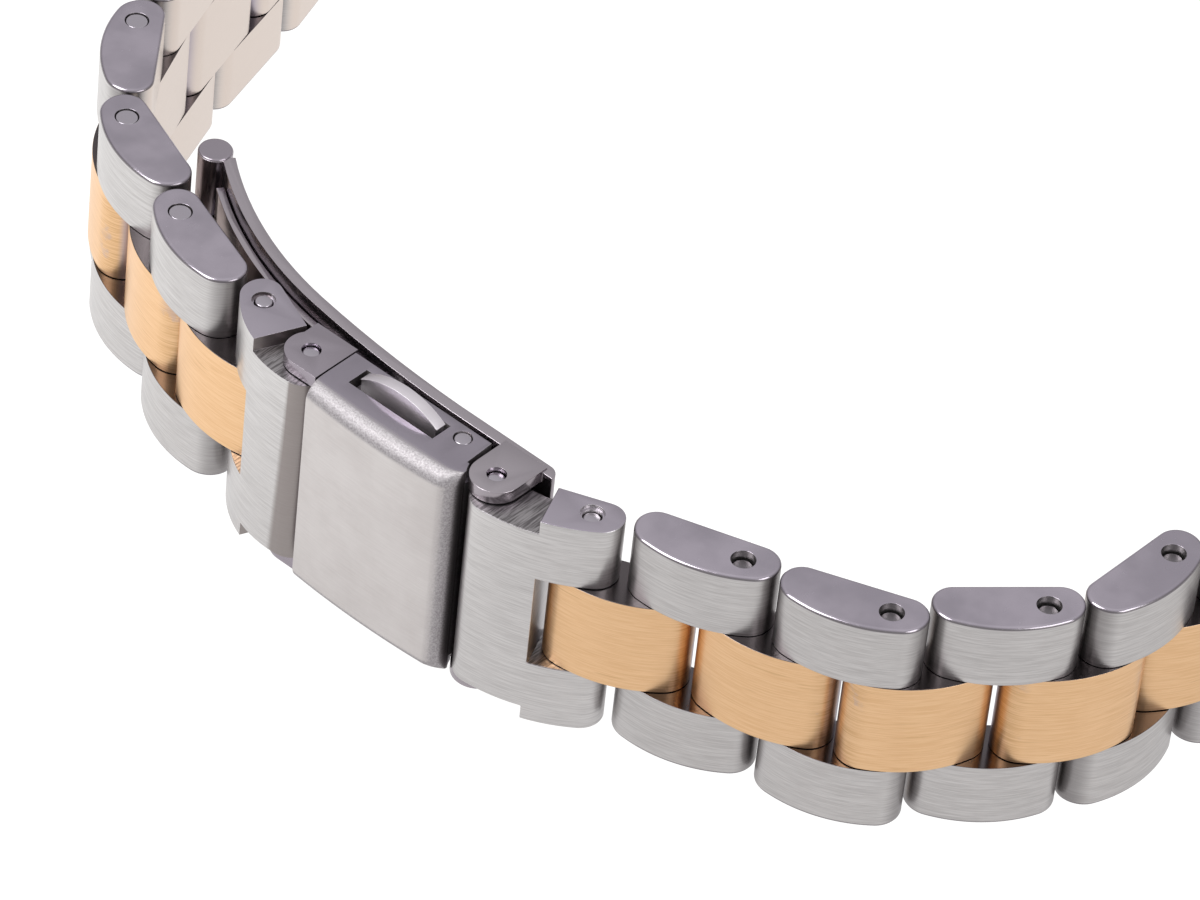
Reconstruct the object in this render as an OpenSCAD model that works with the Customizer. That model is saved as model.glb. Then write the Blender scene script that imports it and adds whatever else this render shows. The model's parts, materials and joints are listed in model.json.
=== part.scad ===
// Solid-link watch bracelet with a three-fold clasp, lying on its side edge, in millimetres
// X runs along the clasp, +Y points to the wrist, +Z runs along the pins

/* [Bracelet] */
// Width across the three rows, and the lug width it fits
band_w = 16; // [15:0.5:20]
// Width of one side row
side_w = 4.6; // [4.2:0.1:5]
// Clearance between neighbouring rows
row_gap = 0.1; // [0.05:0.01:0.2]
// Length of a link from end to end
link_l = 9.12; // [9:0.02:9.6]
// Clearance between two links of one row that lie in line
end_gap = 0.28; // [0.24:0.02:0.5]
// Thickness of a link on the wrist side of its pins
link_in = 1.7; // [1.65:0.05:1.75]
// Thickness of a link on the outer side of its pins
link_out = 2; // [1.95:0.05:2.2]
// Corner radius at the wrist side of a link's ends
in_r = 1.4; // [1.35:0.05:1.45]
// Corner radius at the outer side of a link's ends
out_r = 1.75; // [1.7:0.05:1.8]

/* [Pins] */
// Diameter of every link pin
pin_d = 1.2; // [1:0.05:1.3]
// Radial clearance of a pin that turns in a bore
pin_play = 0.05; // [0.03:0.01:0.08]
// Radial clearance of a pin that is held in its hole
held_play = 0.01; // [0.01:0.005:0.02]
// Depth of the pin ends below the side faces on the right run
pin_recess = 0.4; // [0.2:0.05:0.6]
// Depth of the pin ends below the side faces on the left run
pin_flush = 0.06; // [0.04:0.02:0.2]
// Diameter of the countersink around a pin end
sink_d = 1.5; // [1.4:0.05:1.7]
// Depth of the countersink
sink_h = 0.25; // [0.1:0.05:0.35]
// Wall left over a hidden pin end
blind_wall = 1; // [0.6:0.1:1.5]

/* [Clasp blades] */
// Distance between the two ear pins of the closed clasp
ear_span = 15; // [14.8:0.1:15.6]
// Thickness of the bottom blade
blade_t = 0.8; // [0.7:0.02:0.84]
// Height of the bottom blade's wrist face over the ear pins
blade_y = 3.05; // [3.03:0.01:3.15]
// Radius of the bottom blade over the cover
flat_r = 89; // [86:1:92]
// Radius of the bottom blade near the knuckle
bend_r = 27; // [26.5:0.5:27.5]
// Angle of the bottom blade where the smaller radius starts
bend_at = 9; // [8.8:0.1:9.2]
// Angle of the bottom blade's knuckle pin
knuckle_at = 40; // [38:1:42]
// Outer radius of the knuckles
knuckle_r = 1.1; // [1:0.02:1.16]
// Distance of the bottom blade's edges from the side faces
blade_inset = 0.2; // [0.1:0.05:0.3]
// Thickness of the middle blade
middle_t = 0.5; // [0.44:0.01:0.54]
// Clearance between the two blades
blade_gap = 0.1; // [0.06:0.01:0.14]
// Distance of the middle blade's edges from the side faces
middle_inset = 1.3; // [1.2:0.05:1.5]
// Width of the middle knuckle
knuckle_w = 6.8; // [6:0.1:8]
// Thickness of the clasp's ears
ear_t = 0.9; // [0.8:0.05:1]
// Radius of the ears around their pins
ear_r = 1.65; // [1.5:0.05:1.7]
// Clearance between ears and end links
ear_gap = 0.1; // [0.06:0.01:0.15]

/* [Clasp cover] */
// Distance from the left ear pin to the cover pin
cover_pin_x = 11.5; // [11.4:0.05:11.6]
// Height of the cover pin over the ear pins
cover_pin_y = 0.87; // [0.84:0.01:0.9]
// Left end of the cover
cover_x0 = 2; // [1.95:0.01:2.1]
// Right end of the cover
cover_x1 = 13.6; // [13.5:0.02:13.66]
// Wrist edge of the cover
cover_top = 1.75; // [1.6:0.05:1.8]
// Lowest line of the cover's outer face under the ear pins
cover_out = 2.85; // [2.8:0.05:3]
// Radius of the cover's outer face along the clasp
cover_r = 55; // [45:1:70]
// Rounding of the cover's long edges
cover_edge = 1.2; // [1:0.05:1.3]
// Wall of the cover
cover_wall = 0.9; // [0.8:0.05:1]
// Length of the slot in the cover's side wall
slot_l = 6.8; // [6.7:0.1:7]
// Height of the slot
slot_h = 1.6; // [1.5:0.05:1.7]
// Middle of the slot along the clasp
slot_x = 6.9; // [6.85:0.05:6.95]
// Middle of the slot over the ear pins
slot_y = 0.3; // [0.25:0.05:0.35]

/* [Push buttons] */
// Thickness of a push button
button_t = 0.8; // [0.7:0.05:0.84]
// Length of a push button
button_l = 6.2; // [6:0.1:6.4]
// Height of a push button over the side face
button_out = 0.95; // [0.8:0.05:1.1]
// Depth of a push button's body inside the cover
button_in = 3.4; // [3.2:0.1:3.5]
// Travel of a push button
button_travel = 0.8; // [0.6:0.05:0.85]
// Length of the catch post along the clasp
post_l = 2; // [1.8:0.1:2.2]
// Width of the catch post across the bracelet
post_w = 3.2; // [3:0.1:3.4]
// Depth of the catch grooves
groove = 0.6; // [0.5:0.05:0.7]

/* [End links] */
// Distance from the right ear pin to the first link pin
right_reach = 6.3; // [6.2:0.05:6.6]
// Distance from the left ear pin to the first link pin
left_reach = 5.1; // [5:0.05:5.3]
// Drop of the first link pins outwards
end_drop = 0.85; // [0.8:0.05:0.9]
// Tilt of the end links against the clasp
end_tilt = 22.5; // [21.5:0.5:23]
// Radius of an end link around its ear pin
boss_r = 1.15; // [1.05:0.02:1.18]
// Corner radius at the wrist side of the end links
end_in_r = 1.2; // [1.1:0.05:1.25]
// Corner radius at the outer side of the end links
end_out_r = 1.6; // [1.5:0.05:1.65]

/* [Head ends] */
// Distance from the last link pin to the sprung bar
bar_x = 5.4; // [5.2:0.1:6]
// Length of a head end link beyond its sprung bar
bar_end = 1.95; // [1.9:0.05:2.2]
// Diameter of the sprung bar's tube
bar_d = 1.8; // [1.7:0.05:1.9]
// Diameter of the sprung bar's tips
tip_d = 0.9; // [0.8:0.05:1]
// Length of a tip outside the side face
tip_out = 0.9; // [0.7:0.05:1.1]
// Difference in radius between a tip and its neck, and its head inside the tube
tip_step = 0.18; // [0.16:0.01:0.2]
// Length of a tip's head inside the tube
tip_head = 1.55; // [1.3:0.05:1.8]
// Length of a tip's neck between its head and the side face
tip_neck = 1.05; // [1:0.05:1.2]
// Setback of the sprung bar's tube from the side faces
tube_back = 0.4; // [0.3:0.05:0.5]

/* [Hidden] */
$fn = 96;
pin_span = (link_l + end_gap) / 2;
zb = max(tip_out, button_out);
zt = zb + band_w;
mid_z = zb + band_w / 2;
centre_w = band_w - 2 * side_w - 2 * row_gap;
bore_r = pin_d / 2 + pin_play;
hole_r = pin_d / 2 + held_play;
swing_r = pin_span - 2.2;
edge_y = cover_edge - cover_out + 0.35;

// Directions of the links away from the clasp, from pin to pin, as the open bracelet lies
right_dir = [25, 19, 15, 22, 54, 47, 63, 89, 72, 82, 90, 100, 114, 130];
left_dir = [173, 160, 150, 159, 133, 128, 114, 110, 107, 105, 106, 108];
right_head_dir = 152;
left_head_dir = 100;

function turn(a, v) = [cos(a) * v[0] - sin(a) * v[1], sin(a) * v[0] + cos(a) * v[1]];
function walk(from, dirs, n) =
    n == 0 ? from : walk(from, dirs, n - 1) + turn(dirs[n - 1], [pin_span, 0]);

// Ear pins, cover pin and knuckle pin before the shift to the middle of the bracelet
ear_l = [0, 0];
ear_r_pos = [ear_span, 0];
cover_pin = [cover_pin_x, cover_pin_y];
flat_x = 11;
flat_c = [flat_x, blade_y + flat_r];
bend_p = flat_c + flat_r * [-sin(bend_at), -cos(bend_at)];
bend_c = bend_p + bend_r * [sin(bend_at), cos(bend_at)];
knuckle_c = bend_r + blade_t + blade_gap + middle_t / 2;
knuckle = bend_c + knuckle_c * [-sin(knuckle_at), -cos(knuckle_at)];

right_start = ear_r_pos + turn(end_tilt, [right_reach, -end_drop]);
left_start = ear_l + turn(-end_tilt, [-left_reach, -end_drop]);
right_pins = [for (i = [0:14]) walk(right_start, right_dir, i)];
left_pins = [for (i = [0:12]) walk(left_start, left_dir, i)];

// Radius of the outer face of a section, and where it meets the end rounding
function face_r(l, ti, to, ri, ro) =
    (pow(l / 2 - ro, 2) + pow(to + ti - ri, 2) - ro * ro) / (2 * (to + ti - ri - ro));
function meet_x(l, ti, to, ri, ro) =
    let (r = face_r(l, ti, to, ri, ro)) r * (l / 2 - ro) / (r - ro);

// Reach of a section from its middle in a given direction
function reach(a, l, ti, to, ri, ro) =
    let (u = [cos(a), sin(a)], r = face_r(l, ti, to, ri, ro), xt = meet_x(l, ti, to, ri, ro))
    max([for (s = [-1, 1])
        max((l / 2 - ro) * s * u[0] + (ti - ri) * u[1] + ro * (u[1] > 0 ? 0.99 : 1),
            (l / 2 - ri) * s * u[0] + (ti - ri) * u[1] + ri),
        (u[1] < 0 && abs(u[0]) < xt / r) ? r * (1 + u[1]) - to * u[1] : -99]);
function link_reach(p, q, flip, a) =
    let (m = (p + q) / 2, h = atan2(q[1] - p[1], q[0] - p[0]) + flip)
    m * [cos(a), sin(a)] + reach(a - h, link_l, link_in, link_out, in_r, out_r);
pin_end = (link_l - pin_span) / 2;
head_sec = pin_end + bar_x + bar_end;
head_mid = (bar_x + bar_end - pin_end) / 2;
function head_reach(p, h, flip, a) =
    let (m = p + turn(h, [head_mid, 0]))
    m * [cos(a), sin(a)] + reach(a - h - flip, head_sec, link_in, link_out, in_r, out_r);
function run_reach(a) = max(
    max([for (i = [0:13]) link_reach(right_pins[i], right_pins[i + 1], 0, a)]),
    max([for (i = [0:11]) link_reach(left_pins[i], left_pins[i + 1], 180, a)]),
    head_reach(right_pins[14], right_head_dir, 0, a),
    head_reach(left_pins[12], left_head_dir, 180, a));

x_hi = run_reach(0);
x_lo = -run_reach(180);
y_hi = run_reach(90);
y_lo = -cover_out;
shift = -[(x_hi + x_lo) / 2, (y_hi + y_lo) / 2];

// Moves a piece drawn in its own frame to its pin, with its direction
module at(p, a = 0) translate([p[0] + shift[0], p[1] + shift[1], 0]) rotate([0, 0, a]) children();

// Block of material with its section in the X-Y plane, between two heights
module slab(z0, z1) translate([0, 0, z0]) linear_extrude(height = z1 - z0) children();

module rect(x0, x1, y0, y1) translate([x0, y0]) square([x1 - x0, y1 - y0]);

module rod(p, r, z0, z1) translate([p[0], p[1], z0]) cylinder(r = r, h = z1 - z0);

// Section of a link: flat on the wrist side, one large radius outside, rounded ends
module section(l, ti, to, ri, ro) {
    r = face_r(l, ti, to, ri, ro);
    xt = meet_x(l, ti, to, ri, ro);
    yo = ti - ri;
    intersection() {
        translate([0, r - to]) circle(r = r, $fn = 360);
        rect(-xt, xt, -to - 1, yo);
    }
    rect(-(l / 2 - ri), l / 2 - ri, yo, ti);
    for (s = [-1, 1]) {
        intersection() {
            translate([s * (l / 2 - ro), yo]) circle(r = ro);
            rect(min(s * xt, s * l), max(s * xt, s * l), -to - 1, yo);
        }
        intersection() {
            translate([s * (l / 2 - ri), yo]) circle(r = ri);
            rect(min(s * (l / 2 - ri), s * l), max(s * (l / 2 - ri), s * l), yo, ti + 1);
        }
    }
}

module link_section() section(link_l, link_in, link_out, in_r, out_r);

// Centre link between two pins
module centre_link(p, q, flip) {
    at((p + q) / 2, atan2(q[1] - p[1], q[0] - p[0]) + flip) difference() {
        slab(mid_z - centre_w / 2, mid_z + centre_w / 2) link_section();
        for (s = [-1, 1]) rod([s * pin_span / 2, 0], bore_r, zb, zt);
    }
}

// Pair of side links with the two pins they hold; the far pin can be seen from the side
module side_links(p, q, flip, recess) {
    far = flip == 0 ? 1 : -1;
    at((p + q) / 2, atan2(q[1] - p[1], q[0] - p[0]) + flip) {
        difference() {
            union() {
                slab(zb, zb + side_w) link_section();
                slab(zt - side_w, zt) link_section();
            }
            rod([far * pin_span / 2, 0], hole_r, zb - 1, zt + 1);
            rod([far * pin_span / 2, 0], sink_d / 2, zb - 1, zb + sink_h);
            rod([far * pin_span / 2, 0], sink_d / 2, zt - sink_h, zt + 1);
            rod([-far * pin_span / 2, 0], hole_r, zb + blind_wall, zt - blind_wall);
        }
        rod([far * pin_span / 2, 0], pin_d / 2, zb + recess, zt - recess);
        rod([-far * pin_span / 2, 0], pin_d / 2, zb + blind_wall + 0.05, zt - blind_wall - 0.05);
    }
}

module right_centre(i) color("goldenrod")
    centre_link(right_pins[2 * i], right_pins[2 * i + 1], 0);
module right_side(i) color("silver")
    side_links(right_pins[2 * i + 1], right_pins[2 * i + 2], 0, pin_recess);
module left_centre(i) color("goldenrod")
    centre_link(left_pins[2 * i], left_pins[2 * i + 1], 180);
module left_side(i) color("silver")
    side_links(left_pins[2 * i + 1], left_pins[2 * i + 2], 180, pin_flush);

// Ring sector of a blade on one side of the line where its two radii meet
module arc_part(c, r, d0, d1, side) intersection() {
    difference() {
        translate(c) circle(r = r + d1, $fn = 720);
        translate(c) circle(r = r + d0, $fn = 720);
    }
    translate(bend_p) rotate(-bend_at) rect(min(0, side * 60), max(0, side * 60), -8, 12);
}

// Strip of a blade between two depths below the wrist face, from an angle to a place along X
module strip(d0, d1, end_a, x1) {
    intersection() {
        arc_part(flat_c, flat_r, d0, d1, 1);
        rect(-40, flat_x, -5, 40);
    }
    difference() {
        arc_part(bend_c, bend_r, d0, d1, -1);
        translate(bend_c) rotate(-end_a) rect(-60, 0, -60, 20);
    }
    if (x1 > flat_x) rect(flat_x, x1, blade_y - d1, blade_y - d0);
}

module bottom_blade() color("gainsboro") at([0, 0]) {
    nose = ear_span + 1.6;
    difference() {
        union() {
            slab(zb + blade_inset, zt - blade_inset) {
                strip(0, blade_t, knuckle_at - 1.5, nose);
                intersection() {
                    translate([nose, blade_y - blade_t]) circle(r = blade_t);
                    rect(nose, nose + 2, blade_y - blade_t, blade_y + 1);
                }
            }
            for (z = [zb, zt - ear_t]) slab(z, z + ear_t) {
                translate(ear_r_pos) circle(r = ear_r);
                rect(ear_span - ear_r, ear_span + ear_r, 0, blade_y - blade_t / 2);
            }
            for (z = [zb + blade_inset, mid_z + knuckle_w / 2 + 0.1])
                slab(z, z + band_w / 2 - knuckle_w / 2 - 0.1 - blade_inset)
                    translate(knuckle) circle(r = knuckle_r);
        }
        rod(knuckle, hole_r, zb - 1, zt + 1);
        rod(knuckle, knuckle_r + 0.15, mid_z - knuckle_w / 2 - 0.1, mid_z + knuckle_w / 2 + 0.1);
        rod(ear_r_pos, hole_r, zb - 1, zt + 1);
    }
}

module catch_post() color("silver") at([slot_x, 0]) difference() {
    slab(mid_z - post_w / 2, mid_z + post_w / 2)
        rect(-post_l / 2, post_l / 2, slot_y - 1.1, blade_y - blade_t - 0.02);
    for (s = [-1, 1]) translate([0, slot_y + 0.25, mid_z + s * post_w / 2])
        cube([post_l + 2, button_t + 0.3, 2 * groove], center = true);
}

module knuckle_pin() color("darkgray") at([0, 0])
    rod(knuckle, pin_d / 2, zb + blade_inset + 0.05, zt - blade_inset - 0.05);

module right_ear_pin() color("darkgray") at([0, 0])
    rod(ear_r_pos, pin_d / 2, zb + 0.3, zt - 0.3);

module middle_blade() color("gainsboro") at([0, 0]) {
    d0 = blade_t + blade_gap;
    z0 = zb + middle_inset;
    z1 = zt - middle_inset;
    difference() {
        union() {
            slab(z0, z1) {
                strip(d0, d0 + middle_t, knuckle_at - 4.5, cover_pin_x);
                translate(cover_pin) circle(r = knuckle_r - 0.05);
            }
            slab(mid_z - knuckle_w / 2, mid_z + knuckle_w / 2) {
                translate(knuckle) circle(r = knuckle_r);
                intersection() {
                    strip(d0, d0 + middle_t, knuckle_at - 0.5, 0);
                    rect(-40, 0, 3, 20);
                }
            }
        }
        rod(knuckle, bore_r, zb - 1, zt + 1);
        rod(cover_pin, bore_r, zb - 1, zt + 1);
        slab(mid_z - post_w / 2 - 0.6, mid_z + post_w / 2 + 0.6)
            rect(slot_x - post_l / 2 - 0.4, slot_x + post_l / 2 + 1.6, -2, blade_y);
    }
}

// Outline of the cover seen along the pins
module cover_outline() intersection() {
    translate([(cover_x0 + cover_x1) / 2, cover_r - cover_out]) circle(r = cover_r, $fn = 720);
    polygon([[cover_x0, cover_top], [cover_x0, -4], [cover_x1, -4], [cover_x1, -0.5],
        [ear_span - ear_r - 0.25, -0.5], [ear_span - ear_r - 0.35, cover_top]]);
}

module cover() color("silver") at([0, 0]) difference() {
    intersection() {
        slab(zb, zt) cover_outline();
        union() {
            translate([0, edge_y, zb]) cube([30, 10, band_w]);
            translate([0, -10, zb + cover_edge]) cube([30, 20, band_w - 2 * cover_edge]);
            for (z = [zb + cover_edge, zt - cover_edge])
                translate([0, edge_y, z])
                    rotate([0, 90, 0])
                        cylinder(r = cover_edge, h = 30);
        }
    }
    // Room for the blade, the buttons and the left end link, open to the wrist and to the left
    slab(zb + cover_wall, zt - cover_wall)
        rect(cover_x0 - 1, cover_x1 - 0.8, -cover_out + 1.1, cover_top + 1);
    rod(cover_pin, hole_r, zb - 1, zt + 1);
    rod(ear_r_pos, ear_r + 0.15, zb - 1, zb + ear_t + ear_gap);
    rod(ear_r_pos, ear_r + 0.15, zt - ear_t - ear_gap, zt + 1);
    slab(zb - 1, zt + 1)
        rect(slot_x - slot_l / 2, slot_x + slot_l / 2, slot_y - slot_h / 2, slot_y + slot_h / 2);
}

// Two ribs that the return springs stand on
module cover_ribs() color("silver") at([0, 0])
    for (side = [-1, 1])
        slab(mid_z - 0.3, mid_z + 0.3)
            translate([slot_x + side * (button_l / 2 - 0.45), 0])
                rect(-0.45, 0.45, -cover_out + 1.1, slot_y + 0.85);

module cover_shell() {
    cover();
    cover_ribs();
}

module cover_cross_pin() color("darkgray") at([0, 0])
    rod(cover_pin, pin_d / 2, zb + 0.03, zt - 0.03);

module ear_bracket() color("gainsboro") at([0, 0]) difference() {
    union() {
        for (z = [zb, zt - ear_t]) slab(z, z + ear_t) {
            circle(r = ear_r);
            rect(0, cover_x0 - 0.12, -ear_r, 1);
            rect(-1.4, cover_x0 - 0.12, 0, cover_top + 0.3);
        }
        slab(zb, zt) rect(0.6, cover_x0 - 0.12, boss_r + 0.07, boss_r + 0.47);
        slab(zb + cover_wall + 0.02, zt - cover_wall - 0.02)
            rect(0.6, cover_x0 + 1.4, boss_r + 0.07, boss_r + 0.42);
    }
    rod(ear_l, hole_r, zb - 1, zt + 1);
}

module left_ear_pin() color("darkgray") at([0, 0]) rod(ear_l, pin_d / 2, zb + 0.2, zt - 0.2);

// Puts a piece drawn from the middle plane to the upper or the lower side
module to_side(side) translate([0, 0, mid_z]) mirror([0, 0, side < 0 ? 1 : 0]) children();

// Push button: crescent outside, body, and an arm whose finger reaches behind the catch post
module button(side) {
    r = (pow(button_l / 2, 2) + pow(button_out, 2)) / (2 * button_out);
    y0 = slot_y + slot_h / 2 - 0.1 - button_t;
    arm = slot_x - side * (post_l / 2 + 0.65);
    half = button_l / 2;
    at([0, y0]) to_side(side) rotate([-90, 0, 0]) mirror([0, 1, 0])
        linear_extrude(height = button_t) {
            intersection() {
                translate([slot_x, band_w / 2 + button_out - r]) circle(r = r, $fn = 180);
                rect(slot_x - half, slot_x + half, band_w / 2, band_w / 2 + 3);
            }
            rect(slot_x - half + 0.1, slot_x + half - 0.1, band_w / 2 - button_in, band_w / 2);
            rect(arm - 0.35, arm + 0.35, -post_w / 2 - 1.1, band_w / 2 - button_in);
            rect(min(arm - 0.35, slot_x + side * 0.6), max(arm + 0.35, slot_x + side * 0.6),
                -post_w / 2 - 1.1, -post_w / 2 + groove - 0.15);
        }
}

module push_button_upper() color("silver") button(1);
module push_button_lower() color("silver") button(-1);

// Two small return springs of one button, drawn as sleeves
module springs(side) {
    z0 = 0.3 + 0.02;
    z1 = band_w / 2 - button_in - 0.02;
    for (s = [-1, 1])
        at([slot_x + s * (button_l / 2 - 0.45), slot_y + slot_h / 2 - 0.1 - button_t / 2])
            to_side(side) difference() {
                rod([0, 0], 0.36, z0, z1);
                rod([0, 0], 0.24, z0 - 1, z1 + 1);
            }
}

module upper_button_springs() color("lightgray") springs(1);
module lower_button_springs() color("lightgray") springs(-1);

// End link beside the clasp: body between ledges for the ears, and two arms with the first link pin
module end_link(s, tilt, ear, l0, l1, ti, link_x, step_x, slot_from) {
    yo = -end_drop;
    r = boss_r;
    at(ear, s * tilt) difference() {
        union() {
            slab(zb + ear_t + ear_gap, zt - ear_t - ear_gap) {
                end_section(s, l0, l1, ti);
                circle(r = r);
                polygon([[0, r], [s * 3, ti - end_drop], [s * 3, -1], [-s * r, -1], [-s * r, 0]]);
            }
            slab(zb, zt) intersection() {
                end_section(s, l0, l1, ti);
                rect(min(s * step_x, s * 20), max(s * step_x, s * 20), -9, 9);
            }
        }
        slab(zb + side_w, zt - side_w)
            rect(min(s * slot_from, s * 20), max(s * slot_from, s * 20), -9, 9);
        rod([0, 0], bore_r, zb - 1, zt + 1);
        rod([s * link_x, yo], hole_r, zb - 1, zt + 1);
        rod([s * link_x, yo], sink_d / 2, zb - 1, zb + sink_h);
        rod([s * link_x, yo], sink_d / 2, zt - sink_h, zt + 1);
    }
}

module end_section(s, l0, l1, ti) translate([s * (l1 - l0) / 2, -end_drop])
    section(l0 + l1, ti, link_out, end_in_r, end_out_r);

module right_end_link() color("silver")
    end_link(1, end_tilt, ear_r_pos, 1.3, right_reach + 2, 1.3, right_reach, 3.72,
        right_reach - swing_r);
module right_end_pin() color("darkgray") at(right_pins[0])
    rod([0, 0], pin_d / 2, zb + pin_recess, zt - pin_recess);

module left_end_link() color("silver")
    end_link(-1, end_tilt, ear_l, 2, left_reach + 1.9, 1.5, left_reach, 2.1,
        left_reach - swing_r);
module left_end_pin() color("darkgray") at(left_pins[0])
    rod([0, 0], pin_d / 2, zb + pin_flush, zt - pin_flush);

// End link at the watch: a tongue between the last side links and a full-width end around its bar
module head_end(p, a, s) {
    at(p, a) difference() {
        union() {
            slab(mid_z - centre_w / 2, mid_z + centre_w / 2)
                translate([s * head_mid, 0])
                    section(head_sec, link_in, link_out, in_r, out_r);
            slab(zb, zt) intersection() {
                translate([s * head_mid, 0]) section(head_sec, link_in, link_out, in_r, out_r);
                rect(min(s * swing_r, s * 20), max(s * swing_r, s * 20), -9, 9);
            }
        }
        rod([0, 0], bore_r, zb - 1, zt + 1);
        rod([s * bar_x, 0], bar_d / 2 + pin_play, zb - 1, zt + 1);
    }
}

module head_end_link_right() color("silver") head_end(right_pins[14], right_head_dir, 1);
module head_end_link_left() color("silver") head_end(left_pins[12], left_head_dir + 180, -1);

right_bar = right_pins[14] + turn(right_head_dir, [bar_x, 0]);
left_bar = left_pins[12] + turn(left_head_dir, [bar_x, 0]);

module bar_tube(p) at(p) difference() {
    rod([0, 0], bar_d / 2, zb + tube_back, zt - tube_back);
    rod([0, 0], tip_d / 2 + tip_step + 0.04, zb + tip_neck - 0.05, zt - tip_neck + 0.05);
    rod([0, 0], tip_d / 2 + 0.04, zb - 1, zt + 1);
}

module bar_tip(p, side) at(p) to_side(side) {
    h = band_w / 2;
    rod([0, 0], tip_d / 2, h, h + tip_out);
    rod([0, 0], tip_d / 2 - tip_step, h - tip_neck - 0.1, h + 0.1);
    rod([0, 0], tip_d / 2 + tip_step, h - tip_neck - tip_head, h - tip_neck);
}

module right_bar_tube() color("darkgray") bar_tube(right_bar);
module left_bar_tube() color("darkgray") bar_tube(left_bar);
module right_bar_tip_upper() color("gray") bar_tip(right_bar, 1);
module right_bar_tip_lower() color("gray") bar_tip(right_bar, -1);
module left_bar_tip_upper() color("gray") bar_tip(left_bar, 1);
module left_bar_tip_lower() color("gray") bar_tip(left_bar, -1);

module centre_link_r1() right_centre(0);
module centre_link_r2() right_centre(1);
module centre_link_r3() right_centre(2);
module centre_link_r4() right_centre(3);
module centre_link_r5() right_centre(4);
module centre_link_r6() right_centre(5);
module centre_link_r7() right_centre(6);
module side_links_r1() right_side(0);
module side_links_r2() right_side(1);
module side_links_r3() right_side(2);
module side_links_r4() right_side(3);
module side_links_r5() right_side(4);
module side_links_r6() right_side(5);
module side_links_r7() right_side(6);
module centre_link_l1() left_centre(0);
module centre_link_l2() left_centre(1);
module centre_link_l3() left_centre(2);
module centre_link_l4() left_centre(3);
module centre_link_l5() left_centre(4);
module centre_link_l6() left_centre(5);
module side_links_l1() left_side(0);
module side_links_l2() left_side(1);
module side_links_l3() left_side(2);
module side_links_l4() left_side(3);
module side_links_l5() left_side(4);
module side_links_l6() left_side(5);

bottom_blade();
catch_post();
knuckle_pin();
right_ear_pin();
middle_blade();
cover_shell();
cover_cross_pin();
ear_bracket();
left_ear_pin();
push_button_upper();
push_button_lower();
upper_button_springs();
lower_button_springs();
right_end_link();
right_end_pin();
left_end_link();
left_end_pin();
centre_link_r1();
centre_link_r2();
centre_link_r3();
centre_link_r4();
centre_link_r5();
centre_link_r6();
centre_link_r7();
side_links_r1();
side_links_r2();
side_links_r3();
side_links_r4();
side_links_r5();
side_links_r6();
side_links_r7();
centre_link_l1();
centre_link_l2();
centre_link_l3();
centre_link_l4();
centre_link_l5();
centre_link_l6();
side_links_l1();
side_links_l2();
side_links_l3();
side_links_l4();
side_links_l5();
side_links_l6();
head_end_link_right();
head_end_link_left();
right_bar_tube();
left_bar_tube();
right_bar_tip_upper();
right_bar_tip_lower();
left_bar_tip_upper();
left_bar_tip_lower();
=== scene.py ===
import json
import math

import bmesh
import bpy
from mathutils import Matrix, Vector


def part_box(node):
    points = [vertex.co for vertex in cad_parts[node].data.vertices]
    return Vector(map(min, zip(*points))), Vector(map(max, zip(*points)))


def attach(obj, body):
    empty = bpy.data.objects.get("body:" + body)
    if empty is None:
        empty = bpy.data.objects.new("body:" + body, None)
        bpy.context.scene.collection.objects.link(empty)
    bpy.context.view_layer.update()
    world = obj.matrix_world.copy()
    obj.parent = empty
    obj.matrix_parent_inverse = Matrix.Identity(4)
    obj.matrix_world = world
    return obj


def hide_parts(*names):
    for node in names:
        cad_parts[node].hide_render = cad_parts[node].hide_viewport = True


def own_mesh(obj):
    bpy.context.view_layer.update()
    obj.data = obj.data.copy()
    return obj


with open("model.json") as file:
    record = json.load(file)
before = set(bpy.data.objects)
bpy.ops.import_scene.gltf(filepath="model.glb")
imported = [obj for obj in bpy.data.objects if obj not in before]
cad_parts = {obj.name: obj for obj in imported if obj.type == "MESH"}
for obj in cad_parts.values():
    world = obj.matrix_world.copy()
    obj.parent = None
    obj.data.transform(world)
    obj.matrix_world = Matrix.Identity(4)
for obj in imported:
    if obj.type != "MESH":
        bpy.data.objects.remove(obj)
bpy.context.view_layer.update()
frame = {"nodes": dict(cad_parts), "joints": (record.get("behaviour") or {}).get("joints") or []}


print("frame loaded")

joints = {j["name"]: j for j in frame["joints"]}
mm = 0.001
band = {"low": 0.95, "width": 16.0}  # the bracelet's lower side above the floor, and its width
bandTop = band["low"] + band["width"]
bandMiddle = band["low"] + band["width"] / 2


def pinAt(name):
    return Vector(joints[name]["pos_m"])


# node tools
class Sock:
    # a value socket that can be used in plain arithmetic
    def __init__(self, maker, link):
        self.maker, self.link = maker, link

    def math(self, operation, other, swap=False):
        values = (other, self) if swap else (self, other)
        return self.maker.node("ShaderNodeMath", {"operation": operation}, dict(enumerate(values)))

    def __add__(self, other):
        return self.math("ADD", other)

    def __radd__(self, other):
        return self.math("ADD", other, swap=True)

    def __sub__(self, other):
        return self.math("SUBTRACT", other)

    def __rsub__(self, other):
        return self.math("SUBTRACT", other, swap=True)

    def __mul__(self, other):
        return self.math("MULTIPLY", other)

    def __rmul__(self, other):
        return self.math("MULTIPLY", other, swap=True)

    def __gt__(self, other):
        return self.math("GREATER_THAN", other)

    def __lt__(self, other):
        return self.math("LESS_THAN", other)

    def absolute(self):
        return self.math("ABSOLUTE", 0.0)

    def atMost(self, limit):
        return self.math("MINIMUM", limit)

    def ramp(self, low, high):
        # 0 below low, 1 above high, smooth between
        return self.maker.node("ShaderNodeMapRange", {"interpolation_type": "SMOOTHSTEP"},
                               {"Value": self, "From Min": low, "From Max": high})


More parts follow.
